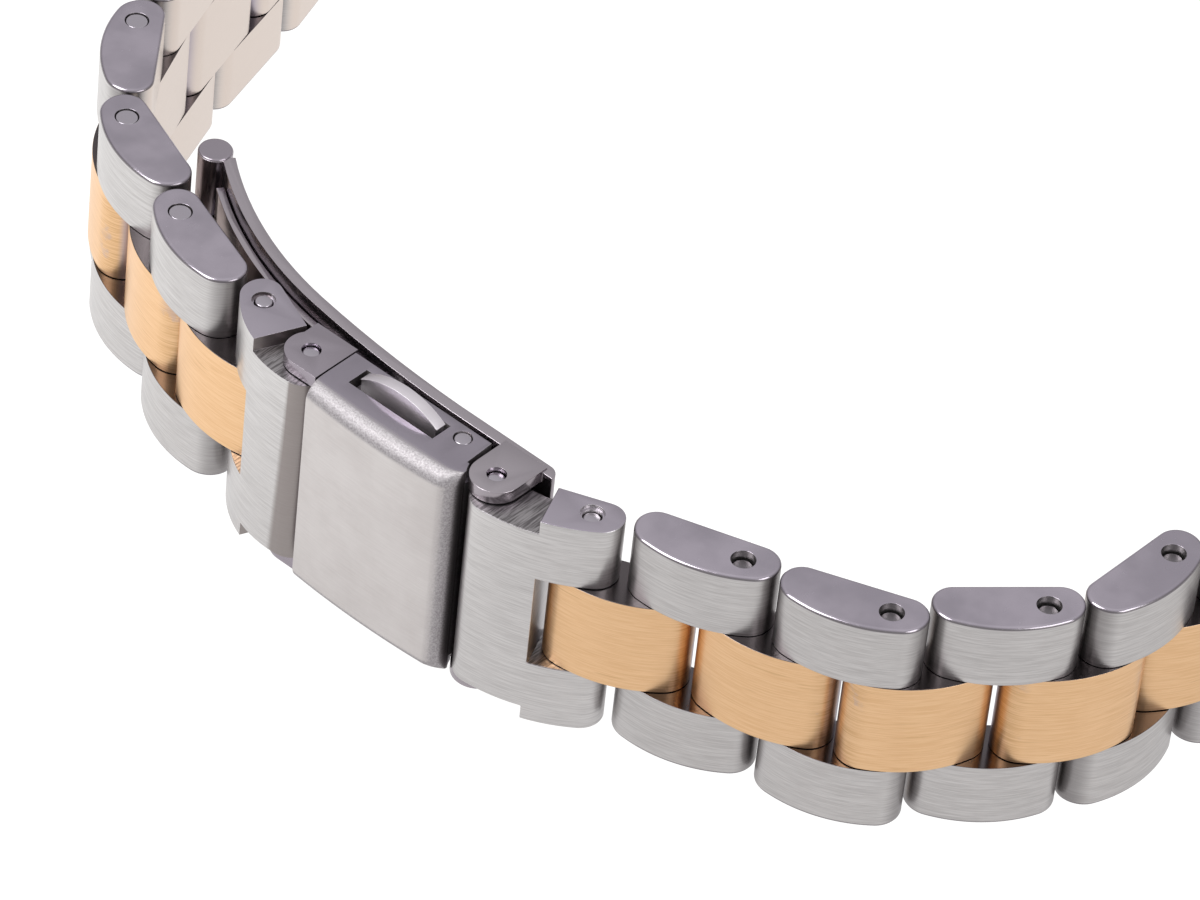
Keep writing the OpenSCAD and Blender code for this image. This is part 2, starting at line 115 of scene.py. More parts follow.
class NodeMaker:
    # makes and links the nodes of one tree
    def __init__(self, tree):
        self.tree = tree
        tree.nodes.clear()

    def fill(self, socket, value):
        if isinstance(value, Sock):
            self.tree.links.new(value.link, socket)
        elif socket.type == "RGBA":
            socket.default_value = (*value, 1)
        else:
            socket.default_value = value

    def setStops(self, elements, stops):
        while len(elements) < len(stops):
            elements.new(0.5)
        for element, (place, colour) in zip(elements, stops):
            element.position = place
            element.color = (*colour, 1)

    def add(self, kind, settings, values):
        # a list as a value links several sockets to one
        made = self.tree.nodes.new(kind)
        for key, value in settings.items():
            if key == "stops":
                self.setStops(made.color_ramp.elements, value)
            else:
                setattr(made, key, value)
        for key, value in values.items():
            for item in value if isinstance(value, list) else [value]:
                self.fill(made.inputs[key], item)
        return made

    def node(self, kind, settings=None, values=None, output=0):
        return Sock(self, self.add(kind, settings or {}, values or {}).outputs[output])

    def axis(self, vector, which):
        return self.node("ShaderNodeSeparateXYZ", {}, {0: vector}, output=which)

    def vectorMath(self, operation, first, second):
        return self.node("ShaderNodeVectorMath", {"operation": operation}, {0: first, 1: second})


class ShaderTree(NodeMaker):
    # the shader nodes that materials and the sky are made of
    def coords(self, which="Object"):
        return self.node("ShaderNodeTexCoord", output=which)

    def noise(self, vector, scale, detail, rough):
        return self.node("ShaderNodeTexNoise", {},
                         {"Vector": vector, "Scale": scale, "Detail": detail, "Roughness": rough})

    def mix(self, factor, first, second):
        return self.node("ShaderNodeMix", {"data_type": "RGBA"}, {0: factor, 6: first, 7: second}, output=2)

    def bump(self, height, strength, distance):
        return self.node("ShaderNodeBump", {}, {"Height": height, "Strength": strength, "Distance": distance})


class Finish(ShaderTree):
    # one material with a Principled shader
    def __init__(self, name):
        self.material = bpy.data.materials.new(name)
        self.material.use_nodes = True
        super().__init__(self.material.node_tree)
        self.bsdf = self.add("ShaderNodeBsdfPrincipled", {}, {})
        self.surface = Sock(self, self.bsdf.outputs[0])
        self.out = self.add("ShaderNodeOutputMaterial", {}, {"Surface": self.surface})

    def set(self, values):
        for key, value in values.items():
            self.fill(self.bsdf.inputs[key], value)
        return self.material

    def metal(self, colour, rough, normal):
        return self.set({"Base Color": colour, "Metallic": 1.0, "Roughness": rough, "Normal": normal})


class GeometryTree(NodeMaker):
    # one Geometry Nodes tree with named inputs
    def __init__(self, name, inputs):
        super().__init__(bpy.data.node_groups.new(name, "GeometryNodeTree"))
        sockets = self.tree.interface
        sockets.new_socket(name="Geometry", in_out="INPUT", socket_type="NodeSocketGeometry")
        self.names = {}
        for key, kind in inputs.items():
            made = sockets.new_socket(name=key, in_out="INPUT", socket_type="NodeSocket" + kind)
            self.names[key] = made.identifier
        sockets.new_socket(name="Geometry", in_out="OUTPUT", socket_type="NodeSocketGeometry")
        self.start = self.add("NodeGroupInput", {}, {})

    def value(self, key):
        return Sock(self, self.start.outputs[key])

    def combine(self, **values):
        return self.node("ShaderNodeCombineXYZ", {}, values)

    def moved(self, geometry, x, z):
        return self.node("GeometryNodeTransform", {},
                         {"Geometry": geometry, "Translation": self.combine(X=x, Z=z)})

    def joined(self, *parts):
        return self.node("GeometryNodeJoinGeometry", {}, {"Geometry": list(parts)})

    def chosen(self, test, no, yes):
        return self.node("GeometryNodeSwitch", {"input_type": "GEOMETRY"},
                         {"Switch": test, "False": no, "True": yes})

    def cylinder(self, vertices, radius, depth):
        return self.node("GeometryNodeMeshCylinder", {},
                         {"Vertices": vertices, "Radius": radius, "Depth": depth})

    def stored(self, geometry, dataType, domain, name, value):
        return self.node("GeometryNodeStoreNamedAttribute", {"data_type": dataType, "domain": domain},
                         {"Geometry": geometry, "Name": name, "Value": value})

    def finish(self, geometry):
        self.add("NodeGroupOutput", {}, {0: geometry})

    def use(self, obj, **values):
        modifier = obj.modifiers.new("build", "NODES")
        modifier.node_group = self.tree
        for key, value in values.items():
            modifier[self.names[key]] = value


# finishes
finishes = {
    "brushed": (0.67, 0.655, 0.65), "brushedDark": (0.51, 0.495, 0.49), "scratched": (0.42, 0.405, 0.40),
    "polished": (0.385, 0.35, 0.405), "polishedLight": (0.49, 0.445, 0.51),
    # painted shade colours on the next line: inner for faces in shade between rows, at link ends and toward
    # the clasp; rim for the dark line on rounded edges
    "inner": (0.12, 0.105, 0.11), "wristSide": (0.68, 0.595, 0.54), "rim": (0.17, 0.15, 0.17),
    # the deeper gold on the next line is partly painted shade, at the centre links' ends
    "goldLight": (0.87, 0.555, 0.30), "goldDeepToneAndShade": (0.64, 0.39, 0.19),
    "goldLine": (1.0, 0.69, 0.42), "goldScratched": (0.62, 0.37, 0.17),
    "end": (0.71, 0.695, 0.69), "endDark": (0.55, 0.535, 0.53), "endScratched": (0.44, 0.425, 0.42),
    # painted shade: the first colour on the next line darkens end link roundings that face the clasp
    "endShadeTowardX": (0.27, 0.235, 0.225), "milled": (0.13, 0.12, 0.125), "milledLight": (0.36, 0.34, 0.35),
    "cover": (0.72, 0.69, 0.68), "coverDark": (0.60, 0.565, 0.555), "coverSide": (0.30, 0.27, 0.315),
    # painted shade: the last colour on the next line is near-black for the cover's rounding toward the
    # opening at the right
    "grit": (0.53, 0.505, 0.52), "gritDark": (0.31, 0.29, 0.30), "gapShade": (0.07, 0.06, 0.06),
    "blade": (0.385, 0.35, 0.38), "ear": (0.34, 0.305, 0.345), "pin": (0.42, 0.39, 0.435),
    # painted shade: the first colour on the next line is a darker pin for pins that sit deep in their holes
    "pinInRecessShade": (0.19, 0.175, 0.19), "button": (0.72, 0.68, 0.72), "spring": (0.5, 0.5, 0.52),
}
grains = {  # density along X, Y and Z; detail; roughness of the noise
    "fine": ((430.0, 430.0, 12500.0), 4.0, 0.65),
    "broad": ((160.0, 160.0, 3600.0), 3.0, 0.5),
    "scratch": ((260.0, 260.0, 5200.0), 2.0, 0.4),
    "scuff": ((2600.0, 900.0, 200.0), 4.0, 0.7),
    "mill": ((9000.0, 700.0, 300.0), 3.0, 0.6),
    "hair": ((300.0, 300.0, 5200.0), 3.0, 0.65),
    "buttonHair": ((300.0, 300.0, 3600.0), 3.0, 0.65),
    "pinHair": ((300.0, 300.0, 1800.0), 3.0, 0.65),
}
clouds = {  # density; detail; roughness of the noise
    "link": (260.0, 3.0, 0.5), "gold": (420.0, 4.0, 0.65), "end": (300.0, 3.0, 0.5),
    "cover": (260.0, 4.0, 0.6), "grit": (9000.0, 3.0, 0.75), "plain": (330.0, 4.0, 0.5),
}
changes = {  # millimetres from a link's middle along it or inward, where a finish or the painted shade at a link's ends begins and ends to change
    "steelEnd": (3.7, 4.6), "goldEnd": (3.2, 4.5), "wrist": (0.9, 1.6), "goldBack": (-0.2, 0.5),
}
rows = {  # millimetres from the bracelet's middle: nearer side faces lie between two rows, where they get painted shade, or on a ledge
    "between": 4.1, "ledge": 7.5,
}


def grain(shader, kind):
    density, detail, rough = grains[kind]
    return shader.noise(shader.vectorMath("MULTIPLY", shader.coords(), density), 1.0, detail, rough)


def cloud(shader, kind):
    return shader.noise(shader.coords(), *clouds[kind])


def scratches(shader):
    return grain(shader, "scratch").ramp(0.66, 0.74)


def brushedSteel(shader, fine, dark, light, scratched):
    # fine and broad brushing lines with a few deeper scratches
    lines = fine.ramp(0.35, 0.65) * 0.8 + grain(shader, "broad").ramp(0.3, 0.7) * 0.2
    brushed = shader.mix(lines, finishes[dark], finishes[light])
    return shader.mix(scratches(shader) * 0.25, brushed, finishes[scratched])


def facing(shader, which):
    # how far the surface faces along one axis
    return shader.axis(shader.coords("Normal"), which)


def sideFace(shader):
    # 1 on the faces across the pins
    return facing(shader, 2).absolute().ramp(0.45, 0.75)


def fromMiddle(shader):
    return (shader.axis(shader.coords(), 2) - bandMiddle * mm).absolute()


def paintedEdgeShade(shader):
    # painted shade: the thin dark line where a rounded edge meets the brushed face, picked by the way the
    # edge's facets face
    up = facing(shader, 2).absolute()
    return up.ramp(0.08, 0.2) * (1 - up.ramp(0.5, 0.9))


def linkPlace(shader):
    return shader.node("ShaderNodeAttribute", {"attribute_name": "linkPlace"}, output=1)


def changing(distance, kind):
    low, high = changes[kind]
    return distance.ramp(low * mm, high * mm)


def steelLink(name):
    s = Finish(name)
    fine, side, place = grain(s, "fine"), sideFace(s), linkPlace(s)
    wrist = changing(s.axis(place, 1), "wrist")
    # painted shade: the darkest steel toward the link's ends and on the side faces that lie between two rows
    end = changing(s.axis(place, 0).absolute(), "steelEnd")
    between = (rows["between"] * mm - fromMiddle(s)).ramp(-0.2 * mm, 0.2 * mm)
    scuff = grain(s, "scuff")
    outer = brushedSteel(s, fine, "brushedDark", "brushed", "scratched")
    brushed = s.mix(wrist, s.mix(end * 0.55, outer, finishes["inner"]), finishes["wristSide"])
    polished = s.mix(cloud(s, "link").ramp(0.35, 0.7), finishes["polished"], finishes["polishedLight"])
    colour = s.mix(side, brushed, s.mix(between, polished, finishes["inner"]))
    # painted shade line along the rounded edges, in the rim colour
    colour = s.mix(paintedEdgeShade(s) * 0.8, colour, finishes["rim"])
    rough = (1 - side) * (0.27 + fine * 0.12) + side * (0.15 + scuff.ramp(0.52, 0.75) * 0.16)
    normal = s.bump(fine * (1 - side) * (1 - wrist) + scuff * side * 0.12, 0.22, 0.00002)
    return s.metal(colour, rough, normal)


def goldLink(name):
    # gold-coloured outside, bare steel toward the wrist and in worn spots at the ends; painted shade deepens
    # the gold toward the ends and darkens the side faces, which face the neighbouring rows
    s = Finish(name)
    fine, side, place = grain(s, "fine"), sideFace(s), linkPlace(s)
    depth, patch = s.axis(place, 1), cloud(s, "gold")
    end = changing(s.axis(place, 0).absolute(), "goldEnd")
    # painted shade: deeper gold toward the link's ends, mixed with broad grain tone
    gold = s.mix(end * 0.75 + grain(s, "broad") * 0.25, finishes["goldLight"], finishes["goldDeepToneAndShade"])
    gold = s.mix(fine.ramp(0.35, 0.65) * 0.55, gold, finishes["goldLine"])
    gold = s.mix(scratches(s) * 0.4, gold, finishes["goldScratched"])
    polished = s.mix(patch, finishes["polished"], finishes["polishedLight"])
    steel = s.mix(changing(depth, "wrist"), polished, finishes["wristSide"])
    worn = patch.ramp(0.60, 0.70) * end
    bare = (changing(depth, "goldBack") + worn * 0.4).atMost(1.0)
    # painted shade covers the side faces
    colour = s.mix(side, s.mix(bare, gold, steel), finishes["inner"])
    rough = (1 - side) * (0.28 + fine * 0.12) + side * 0.25
    return s.metal(colour, rough, s.bump(fine * (1 - side), 0.2, 0.00002))


def endSteel(name, turned=0.0, behind=0.0):
    # turned: how much painted shade darkens the rounding that faces +X; behind: how much painted shade
    # darkens the one that faces -X
    s = Finish(name)
    fine, side, mills = grain(s, "fine"), sideFace(s), grain(s, "mill")
    ledge = side * (rows["ledge"] * mm - fromMiddle(s)).ramp(-0.1 * mm, 0.0)
    brushed = brushedSteel(s, fine, "endDark", "end", "endScratched")
    # painted shade on the roundings that face the clasp, picked by which way they face
    brushed = s.mix(facing(s, 0).ramp(0.02, 0.10) * turned, brushed, finishes["endShadeTowardX"])
    brushed = s.mix((facing(s, 0) * -1.0).ramp(0.3, 0.95) * behind, brushed, finishes["inner"])
    polished = s.mix(cloud(s, "end"), finishes["polished"], finishes["polishedLight"])
    milled = s.mix(mills.ramp(0.35, 0.65), finishes["milled"], finishes["milledLight"])
    colour = s.mix(side, brushed, s.mix(ledge, polished, milled))
    rough = (1 - side) * (0.27 + fine * 0.13) + side * (0.16 + ledge * 0.2)
    return s.metal(colour, rough, s.bump(fine * (1 - side) * 0.6 + mills * ledge, 0.4, 0.00002))


def coverSteel(name):
    # brushed outside, gritty on the roundings, polished on the sides, with painted shade on the rounding
    # toward the opening at the right
    s = Finish(name)
    fine, grit, patch = grain(s, "fine"), cloud(s, "grit"), cloud(s, "cover")
    up, along = facing(s, 2).absolute(), facing(s, 0).absolute()
    side = up.ramp(0.93, 0.99)
    soft = (up.ramp(0.10, 0.40) + along.ramp(0.25, 0.8)).atMost(1.0) * (1 - side)
    lines = fine.ramp(0.2, 0.8) * 0.5 + patch.ramp(0.3, 0.7) * 0.5
    brushed = s.mix(lines, finishes["coverDark"], finishes["cover"])
    rounded = s.mix(grit.ramp(0.3, 0.7), finishes["gritDark"], finishes["grit"])
    # painted shade: near-black where the rounding faces +X, toward the opening
    rounded = s.mix(facing(s, 0).ramp(0.88, 1.0) * 0.85, rounded, finishes["gapShade"])
    polished = s.mix(patch, finishes["coverSide"], finishes["polished"])
    colour = s.mix(side, s.mix(soft, brushed, rounded), polished)
    rough = (1 - side) * (0.33 + fine * 0.12 + soft * 0.16) + side * 0.2
    return s.metal(colour, rough, s.bump(fine * (1 - soft) * (1 - side) * 0.6 + grit * soft, 0.4, 0.00003))


def plainSteel(name, base, rough, hairs="hair"):
    s = Finish(name)
    hair = grain(s, hairs)
    light = tuple(min(1.0, c * 1.15) for c in finishes[base])
    colour = s.mix(cloud(s, "plain") * 0.6 + hair * 0.4, finishes[base], light)
    return s.metal(colour, rough + hair * 0.1, s.bump(hair, 0.2, 0.00001))


steelSide = steelLink("side link steel")
goldCentre = goldLink("centre link gold")
rightEndFinish = endSteel("end link steel", behind=0.85)
leftEndFinish = endSteel("left end link steel", turned=0.85)
headFinish = endSteel("head end link steel")
coverFinish = coverSteel("cover steel")
bladeFinish = plainSteel("blade steel", "blade", 0.16)
earFinish = plainSteel("ear steel", "ear", 0.2)
pinFinish = plainSteel("pin steel", "pin", 0.14, "pinHair")
# painted shade: a darker pin for the right run, whose pins sit deep in their holes
pinInRecessShadeFinish = plainSteel("deep pin steel", "pinInRecessShade", 0.3, "pinHair")
buttonFinish = plainSteel("button steel", "button", 0.36, "buttonHair")
springFinish = plainSteel("spring wire", "spring", 0.2)
print("finishes made")


# mesh helpers
sharpAngle = 0.66  # edges that turn further than this, in radians, are rounded
pinReach = 0.86  # edges that lie this near to a pin's axis belong to its hole
flatAngle = 0.6  # faces that meet at less than this, in degrees, become one
weld = 2e-6  # points nearer than this, in metres, become one
edges = {  # width of a piece's rounded edges, and the share of it that the edges around pins take
    "endLink": (0.12, 0.2), "headLink": (0.15, 1.0), "cover": (0.08, 0.3), "ear": (0.08, 0.3),
    "bottomBlade": (0.12, 0.3), "middleBlade": (0.08, 1.0), "post": (0.06, 1.0), "button": (0.06, 1.0),
    "pin": (0.1, 1.0), "tip": (0.06, 1.0),
}


def linked(name, data):
    obj = bpy.data.objects.new(name, data)
    bpy.context.scene.collection.objects.link(obj)
    return obj


def finished(name, obj, body, slotName, *nodes):
    # the modifiers' result as a plain mesh on its body
    bpy.context.view_layer.update()
    graph = bpy.context.evaluated_depsgraph_get()
    piece = linked(name, bpy.data.meshes.new_from_object(obj.evaluated_get(graph)))
    old = obj.data
    bpy.data.objects.remove(obj)
    bpy.data.meshes.remove(old)
    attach(piece, body)
    if nodes:
        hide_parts(*nodes)
    return piece


def addBevel(obj, width, segments, clamp=True):
    bevel = obj.modifiers.new("edges", "BEVEL")
    bevel.width = width
    bevel.segments = segments
    bevel.limit_method = "WEIGHT"
    bevel.use_clamp_overlap = clamp
    bevel.loop_slide = clamp
    bevel.harden_normals = True


def weighEdges(work, holeShare):
    # every sharp edge is rounded, those around the pins by holeShare of the width
    pins = [pinAt(name) for name, joint in joints.items() if joint["type"] == "hinge"]
    weights = work.edges.layers.float.new("bevel_weight_edge")

    def near(edge, pin):
        return all(math.hypot(v.co.x - pin.x, v.co.y - pin.y) < pinReach * mm for v in edge.verts)

    for edge in work.edges:
        if len(edge.link_faces) == 2 and edge.calc_face_angle() > sharpAngle:
            edge[weights] = holeShare if any(near(edge, pin) for pin in pins) else 1.0


def storeSmooth(work, mesh, material):
    for face in work.faces:
        face.smooth = True
    work.to_mesh(mesh)
    work.free()
    mesh.materials.clear()
    mesh.materials.append(material)


def softened(node, name, body, slotName, material, edge, segments=3, reshape=None):
    # the construction's own piece with rounded edges, in a changed shape where reshape is given
    width, holeShare = edges[edge]
    mesh = frame["nodes"][node].data.copy()
    work = bmesh.new()
    work.from_mesh(mesh)
    bmesh.ops.remove_doubles(work, verts=work.verts, dist=weld)
    bmesh.ops.dissolve_limit(work, angle_limit=math.radians(flatAngle), verts=work.verts, edges=work.edges)
    if reshape:
        reshape(work)
    weighEdges(work, holeShare)
    storeSmooth(work, mesh, material)
    obj = linked(name + "_work", mesh)
    addBevel(obj, width * mm, segments)
    finished(name, obj, body, slotName, node)


# links
link = {
    "length": 9.12, "wristSide": 1.7, "outerSide": 2.0, "wristCorner": 1.4, "outerCorner": 1.75,
    "sideWidth": 4.6, "rowGap": 0.035, "edge": 0.26, "pinSpan": 4.7, "pinRadius": 0.6,
    "holeRadius": 0.76, "centreHoleRadius": 0.65, "holeReach": 1.0, "outerFrom": 7.3,
    "rightHead": 0.62, "leftHead": 0.69, "headDepth": 0.22, "rightRecess": 0.6, "leftRecess": 0.07,
    "shankShorter": 0.2, "innerPinShorter": 6.0,
}
share = {  # of the link's edge radius; outer and hole come on top of bar
    "outer": 0.85, "hole": 0.04, "bar": 0.08, "centre": 0.2, "pin": 0.2,
}
runs = {"right": ("r", 7), "left": ("l", 6)}  # pairs of a centre link and a side link


def arc(cx, cy, r, start, end, steps):
    return [(cx + r * math.cos(math.radians(start + (end - start) * i / steps)),
             cy + r * math.sin(math.radians(start + (end - start) * i / steps))) for i in range(steps + 1)]


def linkOutline(v):
    # a wide arc outside, flat toward the wrist, rounded at the corners
    half, flat = v["length"] / 2, v["wristSide"] - v["wristCorner"]
    ro, ri, depth = v["outerCorner"], v["wristCorner"], v["outerSide"] + v["wristSide"] - v["wristCorner"]
    a = half - ro
    big = (a * a + depth * depth - ro * ro) / (2 * (depth - ro))
    tilt = math.degrees(math.asin(a / (big - ro)))
    points = arc(0, big - v["outerSide"], big, 270 - tilt, 270 + tilt, 26)
    points += arc(a, flat, ro, 270 + tilt, 360, 12)[1:]
    points += arc(half - ri, flat, ri, 0, 90, 10)[1:]
    points += arc(ri - half, flat, ri, 90, 180, 10)
    points += arc(-a, flat, ro, 180, 270 - tilt, 12)[1:-1]
    return [(x * mm, y * mm, 0) for x, y in points]


def barTree():
    # bars of the outline's section with round holes, and the pins that a side link holds
    t = GeometryTree("link bars", {
        "barLow": "Float", "barWidth": "Float", "secondRise": "Float", "isPair": "Bool",
        "holeX": "Float", "holeRadius": "Float", "pinRadius": "Float", "pinLow": "Float",
        "pinLength": "Float", "headRadius": "Float", "turn": "Rotation", "middle": "Vector",
        "barFinish": "Material", "pinFinish": "Material"})
    v = t.value
    otherX = v("holeX") * -1.0

    outline = t.node("GeometryNodeMeshToCurve", {}, {"Mesh": v("Geometry")})
    circle = t.node("GeometryNodeCurvePrimitiveCircle", {}, {"Resolution": 40, "Radius": v("holeRadius")})
    one = t.joined(outline, t.moved(circle, v("holeX"), 0.0))
    two = t.joined(one, t.moved(circle, otherX, 0.0))
    face = t.node("GeometryNodeFillCurve", {"mode": "NGONS"}, {"Curve": t.chosen(v("isPair"), two, one)})
    raised = t.node("GeometryNodeExtrudeMesh", {}, {
        "Mesh": face, "Offset": t.combine(Z=1.0), "Offset Scale": v("barWidth"), "Individual": False})
    base = t.node("GeometryNodeFlipFaces", {}, {"Mesh": face})
    bar = t.node("GeometryNodeMergeByDistance", {}, {"Geometry": t.joined(raised, base), "Distance": 1e-6})
    low = t.moved(bar, 0.0, v("barLow"))
    pair = t.joined(low, t.moved(low, 0.0, v("secondRise")))

    half, headDepth = v("pinLength") * 0.5, link["headDepth"] * mm
    middle = v("pinLow") + half
    head = t.cylinder(40, v("headRadius"), headDepth)
    heads = t.joined(t.moved(head, 0.0, half - 0.5 * headDepth),
                     t.moved(head, 0.0, half * -1.0 + 0.5 * headDepth))
    shank = t.cylinder(32, v("pinRadius"), v("pinLength") - link["shankShorter"] * mm)
    inner = t.cylinder(32, v("pinRadius"), v("pinLength") - link["innerPinShorter"] * mm)
    pins = t.joined(t.moved(t.joined(shank, heads), v("holeX"), middle), t.moved(inner, otherX, middle))
    pins = t.stored(pins, "BOOLEAN", "FACE", "isPin", True)

    # edges that the bevel rounds: widest on the outer side faces, narrow between the rows and on pins
    position = t.node("GeometryNodeInputPosition")
    outside = (t.axis(position, 2) - bandMiddle * mm).absolute() > link["outerFrom"] * mm
    sharp = t.node("GeometryNodeInputMeshEdgeAngle") > sharpAngle
    fromHole = t.vectorMath("SUBTRACT", position, t.combine(X=v("holeX")))
    level = t.vectorMath("MULTIPLY", fromHole, (1.0, 1.0, 0.0))
    reach = t.node("ShaderNodeVectorMath", {"operation": "LENGTH"}, {0: level}, output=1)
    clear = reach > link["holeReach"] * mm
    full = outside * (clear * (share["outer"] - share["hole"]) + share["hole"])

    def weighted(geometry, weight):
        return t.stored(geometry, "FLOAT", "EDGE", "bevel_weight_edge", weight * sharp)

    pair = t.joined(weighted(pair, full + share["bar"]), weighted(pins, share["pin"]))
    whole = t.chosen(v("isPair"), weighted(low, share["centre"]), pair)
    marked = t.stored(whole, "FLOAT_VECTOR", "POINT", "linkPlace", t.node("GeometryNodeInputPosition"))
    smooth = t.node("GeometryNodeSetShadeSmooth", {}, {"Geometry": marked})
    turned = t.node("GeometryNodeTransform", {}, {
        "Geometry": smooth, "Translation": v("middle"), "Rotation": v("turn")})
    plain = t.node("GeometryNodeRealizeInstances", {}, {"Geometry": turned})
    shown = t.node("GeometryNodeSetMaterial", {}, {"Geometry": plain, "Material": v("barFinish")})
    isPin = t.node("GeometryNodeInputNamedAttribute", {"data_type": "BOOLEAN"}, {"Name": "isPin"})
    t.finish(t.node("GeometryNodeSetMaterial", {}, {
        "Geometry": shown, "Selection": isPin, "Material": v("pinFinish")}))
    return t


bars = barTree()
outlineMesh = bpy.data.meshes.new("link outline")
outlinePoints = linkOutline(link)
outlineEdges = [(i, (i + 1) % len(outlinePoints)) for i in range(len(outlinePoints))]
outlineMesh.from_pydata(outlinePoints, outlineEdges, [])


def makeLink(body, node, first, second, centre, run):
    # first and second are the joints at the link's two pins, counted away from the clasp
    right = run == "right"
    a, b = pinAt(first), pinAt(second)
    near, far = (a, b) if right else (b, a)
    middle = (a + b) / 2
    recess = link[run + "Recess"]
    if centre:
        sizes = {"barLow": band["low"] + link["sideWidth"] + link["rowGap"],
                 "barWidth": band["width"] - 2 * link["sideWidth"] - 2 * link["rowGap"],
                 "holeRadius": link["centreHoleRadius"]}
    else:
        sizes = {"barLow": band["low"], "barWidth": link["sideWidth"],
                 "secondRise": band["width"] - link["sideWidth"], "holeRadius": link["holeRadius"],
                 "pinRadius": link["pinRadius"], "pinLow": band["low"] + recess,
                 "pinLength": band["width"] - 2 * recess, "headRadius": link[run + "Head"]}
    obj = linked(node + "_work", outlineMesh.copy())
    bars.use(obj, isPair=not centre, holeX=(0.5 if right else -0.5) * link["pinSpan"] * mm,
             middle=(middle.x, middle.y, 0.0), turn=(0.0, 0.0, math.atan2(far.y - near.y, far.x - near.x)),
             barFinish=goldCentre if centre else steelSide, pinFinish=pinInRecessShadeFinish if right else pinFinish,
             **{key: value * mm for key, value in sizes.items()})
    addBevel(obj, link["edge"] * mm, 4, clamp=False)
    finished(node + "_piece", obj, body, "centre_gold" if centre else "side_steel", node)


def makeRun(run):
    letter, count = runs[run]
    places = ["%s%d" % (letter, i) for i in range(1, count + 1)]
    hinges = ["hinge_%s_%s" % (place, kind) for place in places for kind in ("centre", "side")]
    hinges.append("hinge_head_" + run)
    for i, place in enumerate(places):
        first, second, third = hinges[2 * i:2 * i + 3]
        makeLink("link_%s_centre" % place, "centre_link_" + place, first, second, True, run)
        makeLink("link_%s_side" % place, "side_links_" + place, second, third, False, run)


for run in runs:
    makeRun(run)
print("links made")


# end links
softened("right_end_link", "right_end_link_piece", "right_end", "end_steel", rightEndFinish, "endLink")
softened("left_end_link", "left_end_link_piece", "left_end", "end_steel", leftEndFinish, "endLink")
for run in runs:
    node = "head_end_link_" + run
    softened(node, node + "_piece", "head_" + run, "end_steel", headFinish, "headLink")
print("end links made")


# clasp
leftEar = pinAt("left_end_hinge")
coverSize = {
    "left": 2.0, "right": 13.6, "leftRadius": 0.35, "leftRimY": -0.6, "rightRadius": 1.15,
    "round": 1.2, "roundY": -1.3, "faceRadius": 55.0, "depth": 2.85, "endDepth": 2.53, "insideY": -1.75,
    "cuts": 3, "facetGap": 0.1, "inside": 0.01, "rimGap": 0.02, "tolerance": 0.03,
}


def roundCover(work):
    # lets the long edges' rounding run into the slightly curved outer face, and rounds both ends
    v = coverSize
    leftX, endX, endRadius = leftEar.x + v["left"] * mm, leftEar.x + v["right"] * mm, v["rightRadius"] * mm
    facets = []
    for x in sorted(vert.co.x for vert in work.verts if vert.co.y < leftEar.y - v["endDepth"] * mm):
        if not facets or x - facets[-1] > v["facetGap"] * mm:
            facets.append(x)
    cuts = [start + (end - start) * i / v["cuts"]
            for start, end in zip(facets, facets[1:]) for i in range(v["cuts"])]
    roundCuts = [endX - endRadius * (1 - math.sin(math.radians(angle))) for angle in range(0, 90, 15)]
    planes = [((x, 0, 0), (1, 0, 0)) for x in cuts[1:] + roundCuts]
    planes.append(((0, leftEar.y + v["insideY"] * mm, 0), (0, 1, 0)))
    for place, across in planes:
        everything = work.verts[:] + work.edges[:] + work.faces[:]
        bmesh.ops.bisect_plane(work, geom=everything, dist=1e-6, plane_co=place, plane_no=across)
    centreY = leftEar.y + v["roundY"] * mm
    lowZ, highZ = (band["low"] + v["round"]) * mm, (bandTop - v["round"]) * mm
    for vert in work.verts:
        x, y, z = vert.co
        outZ = max(lowZ - z, z - highZ)
        inside = outZ < -v["inside"] * mm
        reach = math.hypot(centreY - y, max(outZ, 0.0))
        past = min(max(x - endX + endRadius, 0.0), endRadius)
        drop = endRadius - math.sqrt(endRadius ** 2 - past ** 2)
        along = (x - leftEar.x) / mm - (v["left"] + v["right"]) / 2
        face = leftEar.y + (v["faceRadius"] - v["depth"] - math.sqrt(v["faceRadius"] ** 2 - along ** 2)) * mm
        if inside and abs(y - face) < v["tolerance"] * mm:
            vert.co.y += drop
        face += drop
        if y > centreY or inside or reach < (v["round"] - v["tolerance"]) * mm:
            continue
        vert.co.y = max(centreY - (centreY - y) * (centreY - face) / (v["round"] * mm), face)
    bmesh.ops.remove_doubles(work, verts=work.verts, dist=4e-6)

    def onRim(vert):
        return abs(vert.co.x - leftX) < v["rimGap"] * mm and vert.co.y < leftEar.y + v["leftRimY"] * mm

    rim = [edge for edge in work.edges if all(onRim(vert) for vert in edge.verts)]
    bmesh.ops.bevel(work, geom=rim, offset=v["leftRadius"] * mm, segments=6, profile=0.5, affect="EDGES",
                    clamp_overlap=True)


softened("cover_shell", "cover_piece", "cover", "cover_steel", coverFinish, "cover", reshape=roundCover)
softened("ear_bracket", "ear_bracket_piece", "cover", "blade_steel", earFinish, "ear")
softened("bottom_blade", "bottom_blade_piece", "bottom_blade", "blade_steel", bladeFinish, "bottomBlade")
softened("middle_blade", "middle_blade_piece", "middle_blade", "blade_steel", bladeFinish, "middleBlade")
softened("catch_post", "catch_post_piece", "bottom_blade", "blade_steel", bladeFinish, "post")
for side in ("upper", "lower"):
    node = "push_button_" + side
    softened(node, node + "_piece", "button_" + side, "button_steel", buttonFinish, "button")

pinShare = 0.89  # of a pin's radius is drawn, which leaves a fine dark ring in its hole
claspPins = {
    "knuckle_pin": "bottom_blade", "right_ear_pin": "bottom_blade", "cover_cross_pin": "cover",
    "left_ear_pin": "cover", "right_end_pin": "right_end", "left_end_pin": "left_end",
}


